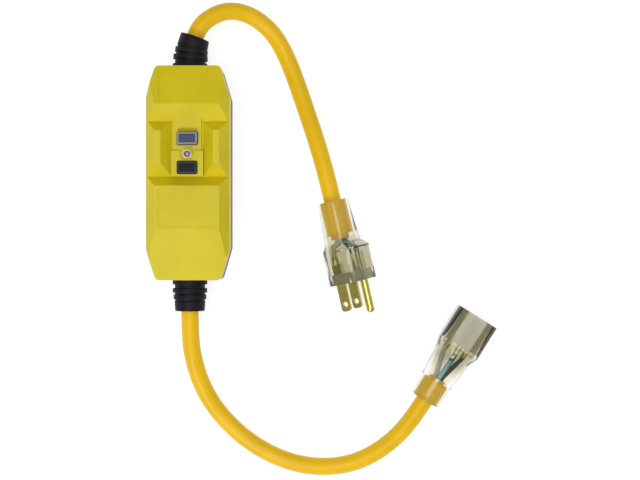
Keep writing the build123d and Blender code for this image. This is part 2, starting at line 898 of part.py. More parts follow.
def make_latch_plate():
    """Sliding plate whose window grips the reset stem's groove."""
    low_y = plunger_tip_y() + running_gap
    high_y = chamber_span(carrier_end_gap)[1] - latch_travel - running_gap
    plate = block((-latch_half_width, latch_half_width), (low_y, high_y), latch_z)
    free_radius = stem_radius + slide_gap
    window_y = (reset_y - free_radius - latch_travel, reset_y + stem_radius - latch_grip)
    return plate - block((-free_radius, free_radius), window_y, longer(latch_z))


def make_solenoid_frame():
    low_y, high_y = solenoid_span_y
    x_span = (-solenoid_half_width, solenoid_half_width)
    bracket = block(x_span, solenoid_span_y, (board_top, board_top + solenoid_sheet))
    for y_span in ((low_y, low_y + solenoid_sheet), (high_y - solenoid_sheet, high_y)):
        bracket += block(x_span, y_span, (board_top, solenoid_cheek_top))
    return bracket - barrel(0, solenoid_axis_z, longer(solenoid_span_y), plunger_radius + slide_gap)


def bobbin_span(inset=0.0):
    """Room between the solenoid's cheeks, less an inset at each end."""
    margin = solenoid_sheet + inset
    return (solenoid_span_y[0] + margin, solenoid_span_y[1] - margin)


def make_solenoid_bobbin():
    low_y, high_y = bobbin_span()
    bobbin = barrel(0, solenoid_axis_z, (low_y, high_y), bobbin_radius)
    for start in (low_y, high_y - bobbin_flange_thickness):
        flange_y = (start, start + bobbin_flange_thickness)
        bobbin += barrel(0, solenoid_axis_z, flange_y, bobbin_flange_radius)
    return bobbin - barrel(0, solenoid_axis_z, longer((low_y, high_y)), plunger_radius + slide_gap)


def make_solenoid_winding():
    y_span = bobbin_span(bobbin_flange_thickness)
    coil = barrel(0, solenoid_axis_z, y_span, winding_radius)
    return coil - barrel(0, solenoid_axis_z, y_span, bobbin_radius)


def make_solenoid_plunger():
    rod = barrel(0, solenoid_axis_z, (plunger_head_y, plunger_tip_y()), plunger_radius)
    head_y = (plunger_head_y - plunger_head_thickness, plunger_head_y)
    return rod + barrel(0, solenoid_axis_z, head_y, plunger_head_radius)


def make_plunger_spring():
    """Return spring behind the solenoid; its free gap is the plunger's travel."""
    length = solenoid_span_y[0] - plunger_head_y - latch_travel - running_gap
    turned = coil_spring(0, 0, (0, length), *plunger_coil)
    return Pos(0, solenoid_span_y[0], solenoid_axis_z) * Rot(90, 0, 0) * turned


def make_test_contact_leaf():
    y_span = (test_y - leaf_half_width, test_y + leaf_half_width)
    leg = block((leaf_leg_x, leaf_leg_x + leaf_thickness), y_span, (board_top, leaf_top))
    return leg + block((leaf_leg_x, leaf_end_x), y_span, (leaf_top - leaf_thickness, leaf_top))


# ---------------------------------------------------------------- sensing coils and electronics
def make_sensing_coil(face_y):
    y_span = (face_y, face_y + coil_thickness)
    ring = barrel(0, coil_centre_z, y_span, coil_outer_radius)
    ring -= barrel(0, coil_centre_z, longer(y_span), coil_inner_radius)
    return fillet(ring.edges().filter_by(GeomType.CIRCLE), coil_edge_radius)


def make_coil_cradle():
    y_span = (coil_faces_y[1] - cradle_end_wall, coil_faces_y[0] + coil_thickness + cradle_end_wall)
    x_span = (-cradle_half_width, cradle_half_width)
    cradle = block(x_span, y_span, (board_top, coil_centre_z - cradle_drop))
    for face_y in coil_faces_y:
        cradle -= barrel(0, coil_centre_z, (face_y, face_y + coil_thickness), coil_outer_radius)
    return cradle - barrel(0, coil_centre_z, longer(y_span), coil_inner_radius + cradle_way_gap)


def make_surge_varistor():
    x = board_half_width - varistor_inset
    z = board_top + varistor_stand + varistor_radius
    disc = Pos(x, varistor_y, z) * Rot(0, 90, 0) * Cylinder(varistor_radius, varistor_thickness)
    disc = fillet(disc.edges().filter_by(GeomType.CIRCLE), screw_head_round)
    for side in (-1, 1):
        y = varistor_y + side * varistor_lead_spread
        disc += post(x, y, (board_top, z - varistor_lead_spread), lead_radius)
    return disc


def make_filter_capacitor():
    x = board_half_width - capacitor_inset
    bottom = board_top + axial_stand
    can = post(x, capacitor_y, (bottom, bottom + capacitor_height), capacitor_radius)
    can = fillet(can.edges().filter_by(GeomType.CIRCLE), screw_head_round)
    for side in (-1, 1):
        y = capacitor_y + side * capacitor_lead_spread
        can += post(x, y, (board_top, bottom + overcut), lead_radius)
    return can


def make_controller_chip():
    """Eight-legged chip; each pair of legs is one bent strip through the body."""
    x = chip_inset - board_half_width
    low_z, high_z = chip_z
    body_x = (x - chip_half_width, x + chip_half_width)
    chip = block(body_x, chip_span_y, (board_top + low_z, board_top + high_z))
    bar_top = board_top + (low_z + high_z) / 2
    for y in chip_pin_y:
        pin_y = (y - chip_pin_half_width, y + chip_pin_half_width)
        bar_x = longer(body_x, chip_pin_reach)
        bar = block(bar_x, pin_y, (board_top, bar_top))
        hollow_x = longer(body_x, chip_pin_reach - chip_pin_thickness)
        hollow = block(hollow_x, pin_y, (board_top, bar_top - chip_pin_thickness))
        chip += bar - hollow
    return chip


def axial_part(x, y, half_body, radius):
    """Small part lying along X, with two bent-down leads."""
    z = board_top + radius + axial_stand
    part = Pos(x, y, z) * Rot(0, 90, 0) * Cylinder(radius, 2 * half_body)
    reach = half_body + axial_lead_reach
    part += Pos(x, y, z) * Rot(0, 90, 0) * Cylinder(lead_radius, 2 * reach)
    for side in (-1, 1):
        part += post(x + side * reach, y, (board_top, z), lead_radius)
    return part


def make_rectifier_diodes():
    x = diode_inset - board_half_width
    return Compound(children=[axial_part(x, y, *diode_size) for y in diode_y])


def make_test_resistor():
    return axial_part(diode_inset - board_half_width, resistor_y, *resistor_size)


# ---------------------------------------------------------------- conductors
def plug_frame():
    """Axes of the plug: Z along the blades, Y toward the ground pin, origin in its rear face."""
    rear = Vector(*line_route[-1])
    heading = (rear - Vector(*line_route[-2]))
    heading = Vector(heading.X, heading.Y, 0).normalized()
    outboard = Vector(-heading.Y, heading.X, 0)
    roll = math.radians(plug_roll)
    toward_ground = outboard * math.cos(roll) + Vector(0, 0, 1) * math.sin(roll)
    return Plane(origin=rear, x_dir=toward_ground.cross(heading), z_dir=heading)


def connector_frame():
    """Axes of the connector: Z out of its mouth, Y (toward the ground hole) straight up."""
    rear = Vector(*load_route[-1])
    heading = rear - Vector(*load_route[-2])
    heading = Vector(heading.X, heading.Y, 0).normalized()
    return Plane(origin=rear, x_dir=Vector(0, 0, 1).cross(heading), z_dir=heading)


def on_plug(shape):
    return plug_frame().location * shape


def on_connector(shape):
    return connector_frame().location * shape


def core_places():
    """Centres of the three cores in a cord's section: two flat ones and the ground above."""
    return {
        "hot": (core_offset, -core_drop),
        "neutral": (-core_offset, -core_drop),
        "ground": (0.0, ground_core_rise),
    }


def fitting_core(core, side, jacket_depth, crimp_start, crimp_lead):
    """Conductor from the jacket's end to the crimp inside a plug or connector."""
    x, y = core_places()[core]
    crimp_x = 0.0 if core == "ground" else side * math.copysign(blade_x, x)
    crimp_y = ground_offset_y if core == "ground" else blade_offset_y
    points = [
        (side * x, y, jacket_depth),
        (side * x, y, jacket_depth + core_straight),
        (crimp_x, crimp_y, crimp_start - crimp_lead),
        (crimp_x, crimp_y, crimp_start + crimp_length - crimp_closed_end),
    ]
    return wire(points)


def plug_core(core):
    return on_plug(fitting_core(core, 1, plug_jacket_depth, plug_crimp_start, plug_crimp_lead))


def connector_core_wire(core):
    sizes = (connector_jacket_depth, connector_crimp_start, connector_crimp_lead)
    return on_connector(fitting_core(core, -1, *sizes))


def line_core_run(side):
    """From the line cord's jacket end to the line contact."""
    jacket_z = split_height + core_drop
    return wire(
        [
            (side * core_offset, jacket_end_y, jacket_z),
            (side * core_offset, jacket_end_y - core_lead_out, jacket_z),
            (side * pole_x, line_crimp_span[1] + crimp_approach, wire_height),
            (side * pole_x, line_crimp_span[0], wire_height),
        ]
    )


def load_core_run(side):
    """From the load cord's jacket end, through both sensing coils, to the load contact."""
    jacket_z = split_height + core_drop
    coils_start = coil_faces_y[1] - coil_approach
    coils_end = coil_faces_y[0] + coil_thickness + coil_approach
    return wire(
        [
            (side * core_offset, -jacket_end_y, jacket_z),
            (side * core_offset, -jacket_end_y + core_lead_out, jacket_z),
            (side * coil_wire_x, coils_start, coil_centre_z),
            (side * coil_wire_x, coils_end, coil_centre_z),
            (side * load_wire_x, solenoid_span_y[0] + overcut, wire_height),
            (side * load_wire_x, load_crimp_span[0], wire_height),
        ]
    )


def ground_run():
    """Unbroken ground conductor under the board, from cord to cord."""
    start_z = split_height - ground_core_rise
    lead_y = jacket_end_y - core_lead_out
    x, turn_x = ground_wire_x
    level = board_bottom - wire_radius - ground_wire_gap
    far_y = 2 * wire_radius - board_span_y[0] - ground_turn_inset
    return wire(
        [
            (0.0, jacket_end_y, start_z),
            (0.0, lead_y, start_z),
            (turn_x, far_y, level),
            (x, ground_near_y, level),
            (x, -ground_near_y, level),
            (turn_x, -far_y, level),
            (0.0, -lead_y, start_z),
            (0.0, -jacket_end_y, start_z),
        ]
    )


# ---------------------------------------------------------------- strain reliefs and cords
def line_boot_path():
    start = (0, half_length, split_height)
    tip = (boot_lean, half_length + boot_reach, split_height)
    return TangentArc(start, tip, tangent=(0, 1, 0))


def load_boot_path():
    return Line((0, -half_length, split_height), (0, -half_length - boot_reach, split_height))


def make_boot(path, side):
    """Ribbed strain relief along its path, a neck through the wall and a flange inside."""
    length = path.length
    boot = tube_along(path, cord_radius + boot_core_wall)
    start = 0.0
    for radius, end in zip(boot_rib_radii, boot_rib_ends):
        plane = Plane(origin=path @ (start / length), z_dir=path % (start / length))
        boot += extrude(plane * Circle(radius), amount=end - start)
        start = end
    tail = Plane(origin=path @ (start / length), z_dir=path % (start / length))
    tip = Plane(origin=path @ 1, z_dir=path % 1)
    boot += loft([tail * Circle(boot_tail_radii[0]), tip * Circle(boot_tail_radii[1])])
    inner = side * (half_length - wall)
    neck = barrel(0, split_height, sorted((inner, side * half_length)), boot_neck_radius)
    flange_end = side * (half_length - wall - boot_flange_thickness)
    flange = barrel(0, split_height, sorted((flange_end, inner)), boot_flange_radius)
    bore = tube_along(path, cord_radius)
    bore += barrel(0, split_height, sorted((flange_end - side * overcut, side * half_length)), cord_radius)
    beyond = extrude(tip * Circle(boot_rib_radii[0]), amount=boot_rib_radii[0])
    return boot + neck + flange - bore - beyond


def jacket_stub(path, side):
    """Cord jacket from the boot's tip through the boot and clamp to where it is stripped."""
    inside = barrel(0, split_height, sorted((side * jacket_end_y, side * half_length)), cord_radius)
    return tube_along(path, cord_radius) + inside


def make_line_cord_ends():
    plug_end = Pos(0, 0, plug_jacket_depth / 2) * Cylinder(cord_radius, plug_jacket_depth)
    return Compound(children=[jacket_stub(line_boot_path(), 1), on_plug(plug_end)])


def make_load_cord_ends():
    depth = connector_jacket_depth
    connector_end = Pos(0, 0, depth / 2) * Cylinder(cord_radius, depth)
    return Compound(children=[jacket_stub(load_boot_path(), -1), on_connector(connector_end)])


def make_free_cord(name, route):
    """Tube along straight runs and tangent arcs; its radii and volume are printed."""
    radii = arc_radii(route)
    path = FilletPolyline(*route, radius=radii)
    tube = tube_along(path, cord_radius)
    expected = path.length * math.pi * cord_radius**2
    print(name, "length", round(path.length, 1), "volume ratio", round(tube.volume / expected, 4))
    print(name, "radii", [round(radius, 1) for radius in radii])
    return tube


# ---------------------------------------------------------------- plug
def rounded_section(half, corner, z, centre_y=0.0):
    return Pos(0, centre_y, z) * RectangleRounded(2 * half[0], 2 * half[1], corner)


def plug_insert_form(end):
    return rounded_prism(plug_insert_half, plug_insert_corner, (insert_start, end), plug_block_centre_y)


def make_plug_body():
    """Clear moulding: round at the cord, a flattened collar, then the wide front block."""
    rear = Circle(plug_rear_radius)
    collar = rounded_section(plug_collar_half, plug_collar_corner, plug_collar_length, plug_collar_centre_y)
    shoulder = rounded_section(plug_block_half, plug_block_corner, plug_block_start, plug_block_centre_y)
    body = loft([rear, collar]) + loft([collar, shoulder])
    block_span = (plug_block_start, plug_length)
    body += rounded_prism(plug_block_half, plug_block_corner, block_span, plug_block_centre_y)
    jacket = post(0, 0, (-overcut, plug_cavity_start + overcut), cord_radius)
    return body - plug_insert_form(plug_length + overcut) - plug_cavity() - jacket


def plug_cavity():
    """Room for the three cores between the jacket's end and the blade insert."""
    narrow = (plug_cavity_small, plug_cavity_small_corner)
    small = rounded_section(*narrow, plug_cavity_start, plug_collar_centre_y)
    middle = rounded_section(*narrow, plug_collar_length, plug_collar_centre_y)
    wide = (plug_cavity_large, plug_cavity_corner)
    large = rounded_section(*wide, plug_cavity_full_at, plug_cavity_centre_y)
    full_span = (plug_cavity_full_at, insert_start)
    space = loft([small, middle]) + loft([middle, large])
    return space + rounded_prism(*wide, full_span, plug_cavity_centre_y)


def make_plug_blade_insert():
    insert = plug_insert_form(plug_length)
    through = longer((insert_start, plug_length))
    y_span = (blade_offset_y - blade_width / 2, blade_offset_y + blade_width / 2)
    for x in (-blade_x, blade_x):
        insert -= block((x - blade_thickness / 2, x + blade_thickness / 2), y_span, through)
    return insert - post(0, ground_offset_y, through, ground_shank_radius)


def crimp_tube(x, y, start):
    """Crimped barrel on a conductor's end, closed at the far side."""
    outer = post(x, y, (start, start + crimp_length), wire_radius + crimp_wall)
    return outer - post(x, y, (start - overcut, start + crimp_length - crimp_closed_end), wire_radius)


def make_plug_blade(x):
    """Flat blade with a rounded tip and a hole, crimped on its core."""
    tip = plug_length + blade_length
    stem_start = plug_crimp_start + crimp_length - crimp_closed_end
    blade = block(
        (x - blade_thickness / 2, x + blade_thickness / 2),
        (blade_offset_y - blade_width / 2, blade_offset_y + blade_width / 2),
        (stem_start, tip),
    )
    tip_edges = blade.faces().sort_by(Axis.Z)[-1].edges().filter_by(Axis.X)
    blade = fillet(tip_edges, blade_tip_radius)
    hole = Pos(x, blade_offset_y, tip - blade_hole_from_tip) * Rot(0, 90, 0)
    blade -= hole * Cylinder(blade_hole_radius, 2 * blade_thickness)
    return on_plug(blade + crimp_tube(x, blade_offset_y, plug_crimp_start))


def make_plug_ground_pin():
    """Round pin on a thinner shank that passes through the insert."""
    stem_start = plug_crimp_start + crimp_length - crimp_closed_end
    shoulder = plug_length + ground_neck_length
    shank = post(0, ground_offset_y, (stem_start, shoulder), ground_shank_radius)
    pin = post(0, ground_offset_y, (shoulder, plug_length + ground_pin_length), ground_pin_radius)
    pin = fillet(pin.edges().sort_by(Axis.Z)[-1], ground_pin_tip_radius)
    return on_plug(shank + pin + crimp_tube(0, ground_offset_y, plug_crimp_start))


# ---------------------------------------------------------------- connector
def connector_core_form(end):
    return rounded_prism(core_half, core_corner, (core_start, end), connector_block_centre_y)


def make_connector_body():
    """Clear moulding that widens from the cord to the front block."""
    waist = Pos(0, 0, connector_waist_at) * Circle(connector_waist_radius)
    face = rounded_section(
        connector_block_half, connector_block_corner, connector_block_start, connector_block_centre_y
    )
    body = loft([Circle(connector_rear_radius), waist]) + loft([waist, face])
    span = (connector_block_start, connector_length)
    body += rounded_prism(connector_block_half, connector_block_corner, span, connector_block_centre_y)
    body -= connector_core_form(connector_length + overcut)
    body -= connector_cavity()
    return body - post(0, 0, (-overcut, connector_cavity_start + overcut), cord_radius)


def connector_cavity():
    """Inner space behind the core, following the tapering wall."""
    wide = (connector_cavity_half, connector_cavity_corner)
    low = Pos(0, 0, connector_cavity_start) * Circle(connector_cavity_start_radius)
    middle = Pos(0, 0, connector_waist_at) * Circle(connector_cavity_waist)
    full = rounded_section(*wide, connector_block_start, connector_block_centre_y)
    space = loft([low, middle]) + loft([middle, full])
    return space + rounded_prism(*wide, (connector_block_start, core_start), connector_block_centre_y)


def slot_pockets():
    """Blade slots with wider pockets behind them for the contacts, and the ground hole."""
    mouth = (connector_length - slot_mouth_depth, connector_length + overcut)
    pocket = (pocket_start, mouth[0])
    half_x, half_y = pocket_half
    pocket_y = (blade_offset_y - half_y, blade_offset_y + half_y)
    cuts = Part()
    for x, width in ((-blade_x, hot_slot_width), (blade_x, neutral_slot_width)):
        slot_y = (blade_offset_y - width / 2, blade_offset_y + width / 2)
        cuts += block((x - slot_height / 2, x + slot_height / 2), slot_y, mouth)
        cuts += block((x - half_x, x + half_x), pocket_y, pocket)
    cuts += post(0, ground_offset_y, mouth, ground_hole_radius)
    sleeve_radius = ground_hole_radius + contact_leaf_thickness
    return cuts + post(0, ground_offset_y, pocket, sleeve_radius + bore_gap)


def tail_passages():
    """Ways through the core's back wall for the contacts' tails."""
    through = (core_start - overcut, pocket_start + overcut)
    half_x = contact_tail_half[0] + tail_way_gap
    half_y = contact_tail_half[1] + tail_way_gap
    ways = post(0, ground_offset_y, through, ground_tail_radius + tail_way_gap)
    for x in (-blade_x, blade_x):
        ways += block((x - half_x, x + half_x), (blade_offset_y - half_y, blade_offset_y + half_y), through)
    return ways


def make_connector_core():
    return connector_core_form(connector_length) - slot_pockets() - tail_passages()


def contact_tail_span():
    """From the crimp's closed end into the back of the contact."""
    return (connector_crimp_start + crimp_length - crimp_closed_end, pocket_start + contact_back_thickness)


def make_blade_contact(x):
    """Two spring leaves joined at the back, with a tail and a crimp."""
    front = connector_length - slot_mouth_depth - contact_front_gap
    y_span = (blade_offset_y - contact_half_height, blade_offset_y + contact_half_height)
    gap = blade_thickness / 2 + contact_grip_gap
    reach = gap + contact_leaf_thickness
    contact = block((x - reach, x + reach), y_span, (pocket_start, pocket_start + contact_back_thickness))
    for side in (-1, 1):
        leaf_x = sorted((x + side * gap, x + side * reach))
        contact += block(leaf_x, y_span, (pocket_start, front))
    half_x, half_y = contact_tail_half
    tail_y = (blade_offset_y - half_y, blade_offset_y + half_y)
    contact += block((x - half_x, x + half_x), tail_y, contact_tail_span())
    return on_connector(contact + crimp_tube(x, blade_offset_y, connector_crimp_start))


def make_ground_contact():
    """Round sleeve behind the ground hole, closed at the back, with a tail and a crimp."""
    front = connector_length - slot_mouth_depth - contact_front_gap
    outer_radius = ground_hole_radius + contact_leaf_thickness
    sleeve = post(0, ground_offset_y, (pocket_start, front), outer_radius)
    bore_start = pocket_start + contact_back_thickness
    sleeve -= post(0, ground_offset_y, (bore_start, connector_length), ground_hole_radius)
    sleeve += post(0, ground_offset_y, contact_tail_span(), ground_tail_radius)
    return on_connector(sleeve + crimp_tube(0, ground_offset_y, connector_crimp_start))


# ---------------------------------------------------------------- all nodes
def all_nodes():
    nodes = {
        "top_cover": make_top_cover(),
        "bottom_case": make_bottom_case(),
        "housing_gasket": make_housing_gasket(),
        "case_screws": make_case_screws(),
        "reset_button": make_reset_button(),
        "test_button": make_test_button(),
        "reset_spring": make_reset_spring(),
        "test_spring": make_test_spring(),
        "indicator_lens": make_indicator_lens(),
        "indicator_led": make_indicator_led(),
        "circuit_board": make_circuit_board(),
        "board_screws": make_board_screws(),
        "line_cord_clamp": make_cord_clamp(1),
        "load_cord_clamp": make_cord_clamp(-1),
        "clamp_screws": make_clamp_screws(),
        "mechanism_frame": make_mechanism_frame(),
        "hot_line_contact": make_line_contact(1),
        "neutral_line_contact": make_line_contact(-1),
        "hot_load_contact": make_load_contact(1),
        "neutral_load_contact": make_load_contact(-1),
        "contact_carrier": make_contact_carrier(),
        "hot_bridge_contact": make_bridge_contact(1),
        "neutral_bridge_contact": make_bridge_contact(-1),
        "latch_plate": make_latch_plate(),
        "solenoid_frame": make_solenoid_frame(),
        "solenoid_bobbin": make_solenoid_bobbin(),
        "solenoid_winding": make_solenoid_winding(),
        "solenoid_plunger": make_solenoid_plunger(),
        "plunger_spring": make_plunger_spring(),
        "test_contact_leaf": make_test_contact_leaf(),
        "test_resistor": make_test_resistor(),
        "coil_cradle": make_coil_cradle(),
        "differential_coil": make_sensing_coil(coil_faces_y[0]),
        "grounded_neutral_coil": make_sensing_coil(coil_faces_y[1]),
        "surge_varistor": make_surge_varistor(),
        "filter_capacitor": make_filter_capacitor(),
        "controller_chip": make_controller_chip(),
        "rectifier_diodes": make_rectifier_diodes(),
        "line_hot_wire": Compound(children=[line_core_run(1), plug_core("hot")]),
        "line_neutral_wire": Compound(children=[line_core_run(-1), plug_core("neutral")]),
        "load_hot_wire": Compound(children=[load_core_run(1), connector_core_wire("hot")]),
        "load_neutral_wire": Compound(children=[load_core_run(-1), connector_core_wire("neutral")]),
        "ground_wire": Compound(
            children=[ground_run(), plug_core("ground"), connector_core_wire("ground")]
        ),
        "line_boot": make_boot(line_boot_path(), 1),
        "load_boot": make_boot(load_boot_path(), -1),
        "line_cord": make_free_cord("line_cord", line_route),
        "load_cord": make_free_cord("load_cord", load_route),
        "line_cord_ends": make_line_cord_ends(),
        "load_cord_ends": make_load_cord_ends(),
        "plug_body": on_plug(make_plug_body()),
        "plug_blade_insert": on_plug(make_plug_blade_insert()),
        "plug_hot_blade": make_plug_blade(blade_x),
        "plug_neutral_blade": make_plug_blade(-blade_x),
        "plug_ground_pin": make_plug_ground_pin(),
        "connector_body": on_connector(make_connector_body()),
        "connector_core": on_connector(make_connector_core()),
        "connector_hot_contact": make_blade_contact(-blade_x),
        "connector_neutral_contact": make_blade_contact(blade_x),
        "connector_ground_contact": make_ground_contact(),
    }
    return nodes


os.makedirs("parts", exist_ok=True)
for node_name, shape in all_nodes().items():
    export_step(shape, f"parts/{node_name}.step")
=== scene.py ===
"""Looks of the in-line GFCI cord set, in metres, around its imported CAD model."""

import json
import math

import bmesh
import bpy
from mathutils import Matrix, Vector


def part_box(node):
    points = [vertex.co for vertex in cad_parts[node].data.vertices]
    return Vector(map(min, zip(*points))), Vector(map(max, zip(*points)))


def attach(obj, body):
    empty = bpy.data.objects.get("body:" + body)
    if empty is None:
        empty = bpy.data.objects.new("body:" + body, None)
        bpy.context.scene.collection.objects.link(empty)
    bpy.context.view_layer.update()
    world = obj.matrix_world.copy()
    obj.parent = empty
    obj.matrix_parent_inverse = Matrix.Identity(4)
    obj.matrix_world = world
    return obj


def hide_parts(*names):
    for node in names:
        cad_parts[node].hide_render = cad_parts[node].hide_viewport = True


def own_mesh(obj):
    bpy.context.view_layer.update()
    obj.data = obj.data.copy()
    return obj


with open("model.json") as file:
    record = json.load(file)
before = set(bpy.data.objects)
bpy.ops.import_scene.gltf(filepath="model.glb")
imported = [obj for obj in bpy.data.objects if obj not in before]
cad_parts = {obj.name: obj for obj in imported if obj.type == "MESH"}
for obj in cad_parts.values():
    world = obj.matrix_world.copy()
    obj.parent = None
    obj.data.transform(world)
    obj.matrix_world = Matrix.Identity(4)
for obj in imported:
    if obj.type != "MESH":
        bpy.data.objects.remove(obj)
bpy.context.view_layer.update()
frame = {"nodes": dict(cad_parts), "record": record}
nodes = frame["nodes"]

CAMERA_PLACE = (0.07695, -0.0390, 0.900)
CAMERA_LENS = 83.9
CORD_RADIUS = 0.00515
LINE_ROUTE = [
    (0.0030, 0.0809, 0.0170),
    (0.00522, 0.08754, 0.0170),
    (0.0141, 0.0946, 0.0152),
    (0.0231, 0.0976, 0.0126),
    (0.0327, 0.0963, 0.0100),
    (0.0415, 0.0917, 0.0077),
    (0.0505, 0.0830, 0.0060),
    (0.0585, 0.0676, 0.0053),
    (0.0662, 0.0460, 0.0060),
    (0.0792, 0.0067, 0.0133),
    (0.0844, -0.0160, 0.0133),
]
LOAD_ROUTE = [
    (0.0000, -0.0809, 0.0170),
    (0.0000, -0.0912, 0.0170),
    (0.0012, -0.1078, 0.0152),
    (0.0065, -0.1259, 0.0108),
    (0.0156, -0.1417, 0.0070),
    (0.0294, -0.1561, 0.0054),
    (0.0451, -0.1666, 0.0052),
    (0.0625, -0.1734, 0.0052),
    (0.0819, -0.1755, 0.0053),
    (0.1008, -0.1716, 0.0066),
    (0.1174, -0.1613, 0.0098),
    (0.1310, -0.1470, 0.0129),
    (0.1392, -0.1339, 0.0129),
]
EDGE_WIDTHS = {
    "top_cover": 0.0006,
    "bottom_case": 0.0005,
    "line_boot": 0.0003,
    "load_boot": 0.0003,
    "plug_body": 0.0006,
    "connector_body": 0.0006,
    "plug_blade_insert": 0.0003,
    "connector_core": 0.0003,
    "plug_hot_blade": 0.0002,
    "plug_neutral_blade": 0.0002,
}
# Heights on the reset and test buttons above which the rim top gets a painted highlight, and the height over
# which it fades in.
RESET_RIM_HIGHLIGHT_HEIGHT = 0.0380
TEST_RIM_HIGHLIGHT_HEIGHT = 0.0376
RIM_HIGHLIGHT_FADE = 0.0003
INSERT_GAP = 0.00004
JACKET_CONTACT = 0.00005
CLEAR_REACH = 0.020
BLOCK_REACH = 0.030
BEZEL_STEPS = 48
BEZEL_PROFILE = [
    (0.00185, 0.00002),
    (0.00195, 0.00022),
    (0.00250, 0.00022),
    (0.00262, -0.00030),
]


# ---------------------------------------------------------------- camera, floor and light
def make_camera():
    data = bpy.data.cameras.new("camera")
    data.lens = CAMERA_LENS
    data.sensor_width = 36.0
    data.clip_start = 0.05
    data.clip_end = 10.0
    camera = bpy.data.objects.new("camera", data)
    camera.location = CAMERA_PLACE
    bpy.context.scene.collection.objects.link(camera)
    bpy.context.scene.camera = camera


def area_light(name, place, aim, size, power, colour=(1.0, 1.0, 1.0)):
    data = bpy.data.lights.new(name, "AREA")
    data.shape = "RECTANGLE"
    data.size = size[0]
    data.size_y = size[1]
    data.energy = power
    data.color = colour
    lamp = bpy.data.objects.new(name, data)
    lamp.location = place
    direction = Vector(aim) - Vector(place)
    lamp.rotation_mode = "QUATERNION"
    lamp.rotation_quaternion = direction.to_track_quat("-Z", "Y")
    bpy.context.scene.collection.objects.link(lamp)


def make_lights():
    middle = (0.06, -0.04, 0.0)
    area_light("key", (-0.35, -0.85, 0.95), middle, (0.45, 0.45), 5.5)
    area_light("fill", (0.9, 0.5, 1.2), middle, (1.2, 1.2), 1.6)
    area_light("top", (0.0, -0.1, 1.9), middle, (1.0, 1.0), 11.0)
    world = bpy.data.worlds.new("studio")
    world.use_nodes = True
    background = world.node_tree.nodes["Background"]
    background.inputs["Color"].default_value = (1.0, 1.0, 1.0, 1.0)
    background.inputs["Strength"].default_value = 0.36
    bpy.context.scene.world = world
    bpy.context.scene.view_settings.view_transform = "Standard"


# ---------------------------------------------------------------- material helpers
class Shader:
    """A Principled material with a short way to add its texture nodes."""

    def __init__(self, name, colour, roughness, **plain):
        self.material = bpy.data.materials.new(name)
        self.material.use_nodes = True
        self.tree = self.material.node_tree
        self.surface = self.tree.nodes["Principled BSDF"]
        self.colour = (*colour, 1.0)
        self.surface.inputs["Base Color"].default_value = self.colour
        self.surface.inputs["Roughness"].default_value = roughness
        for socket, value in plain.items():
            self.surface.inputs[socket.replace("_", " ")].default_value = value
        coordinates = self.tree.nodes.new("ShaderNodeTexCoord")
        self.place = coordinates.outputs["Object"]

    def noise(self, scale, detail=2.0, stretch=(1.0, 1.0, 1.0)):
        mapping = self.tree.nodes.new("ShaderNodeMapping")
        mapping.inputs["Scale"].default_value = stretch
        self.tree.links.new(self.place, mapping.inputs["Vector"])
        texture = self.tree.nodes.new("ShaderNodeTexNoise")
        texture.inputs["Scale"].default_value = scale
        texture.inputs["Detail"].default_value = detail
        self.tree.links.new(mapping.outputs["Vector"], texture.inputs["Vector"])
        return texture.outputs["Fac"]

    def ramp(self, source, low, high, start=0.35, end=0.65):
        """Blend between two colours as source goes from start to end."""
        node = self.tree.nodes.new("ShaderNodeValToRGB")
        node.color_ramp.elements[0].position = start
        node.color_ramp.elements[0].color = (*low, 1.0)
        node.color_ramp.elements[1].position = end
        node.color_ramp.elements[1].color = (*high, 1.0)
        self.tree.links.new(source, node.inputs["Fac"])
        return node.outputs["Color"]

    def spread(self, source, low, high):
        """Map source from 0..1 to low..high."""
        node = self.tree.nodes.new("ShaderNodeMapRange")
        node.inputs["To Min"].default_value = low
        node.inputs["To Max"].default_value = high
        self.tree.links.new(source, node.inputs["Value"])
        return node.outputs["Result"]

    def paint(self, output):
        self.tree.links.new(output, self.surface.inputs["Base Color"])

    def rough(self, output):
        self.tree.links.new(output, self.surface.inputs["Roughness"])

    def bump(self, source, strength, depth):
        node = self.tree.nodes.new("ShaderNodeBump")
        node.inputs["Strength"].default_value = strength
        node.inputs["Distance"].default_value = depth
        self.tree.links.new(source, node.inputs["Height"])
        self.tree.links.new(node.outputs["Normal"], self.surface.inputs["Normal"])


def shade(colour, factor):
    return tuple(min(1.0, channel * factor) for channel in colour)


def rim_highlight_tone(name, low, high, highlight_height, roughness, gloss):
    """Moulded button in its own dark colour, with a painted highlight: the rim top above the given height is
    painted lighter where it catches light.
    """
    shader = Shader(name, low, roughness, Specular_IOR_Level=gloss)
    split = shader.tree.nodes.new("ShaderNodeSeparateXYZ")
    shader.tree.links.new(shader.place, split.inputs["Vector"])
    # Mask of the painted highlight on the rim top, fading in below the given height.
    rim_highlight_mask = shader.tree.nodes.new("ShaderNodeMapRange")
    rim_highlight_mask.inputs["From Min"].default_value = highlight_height - RIM_HIGHLIGHT_FADE
    rim_highlight_mask.inputs["From Max"].default_value = highlight_height
    shader.tree.links.new(split.outputs["Z"], rim_highlight_mask.inputs["Value"])
    shader.paint(shader.ramp(rim_highlight_mask.outputs["Result"], low, high, 0.1, 0.9))
    shader.rough(shader.spread(shader.noise(420.0), roughness - 0.06, roughness + 0.08))
    shader.bump(shader.noise(1800.0, 3.0), 0.3, 0.00003)
    return shader.material


def moulded(name, colour, roughness, grain=1800.0, grain_depth=0.00003, mottle=0.05, **plain):
    """Moulded plastic: fine spark texture, faint flow mottling and uneven gloss."""
    shader = Shader(name, colour, roughness, **plain)
    cloud = shader.noise(38.0, 3.0)
    shader.paint(shader.ramp(cloud, shade(colour, 1 - mottle), shade(colour, 1 + mottle)))
    shader.rough(shader.spread(shader.noise(420.0, 2.0), roughness - 0.07, roughness + 0.07))
    shader.bump(shader.noise(grain, 3.0), 0.35, grain_depth)
    return shader.material


